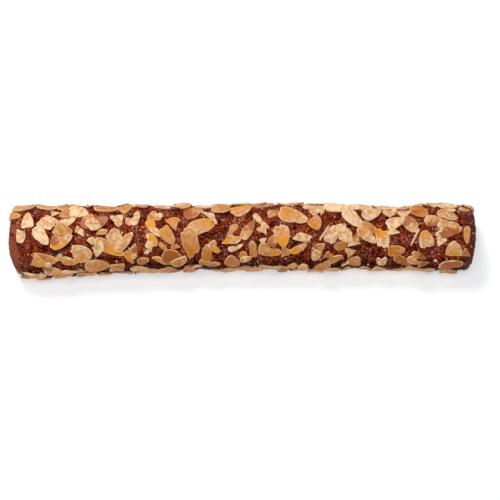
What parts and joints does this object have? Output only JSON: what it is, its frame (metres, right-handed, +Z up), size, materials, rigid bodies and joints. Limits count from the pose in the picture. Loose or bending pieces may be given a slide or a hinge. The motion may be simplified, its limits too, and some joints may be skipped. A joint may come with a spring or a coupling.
{
  "type": "filled spiced cookie bar",
  "caption": "Long domed log of dark spiced cookie dough with a flat base, covered on top and sides in baked-on almond flakes.",
  "frame": {"origin": "on the plane that the bar rests on, under the middle of the bar", "axes": "+X along the bar to the right-hand end as pictured, +Y to its far side, +Z up"},
  "size_m": [0.3, 0.0509, 0.0301],
  "materials": {
    "spiced_dough": null
  },
  "bodies": {
    "root": {"cookie_bar": "spiced_dough"}
  },
  "joints": []
}
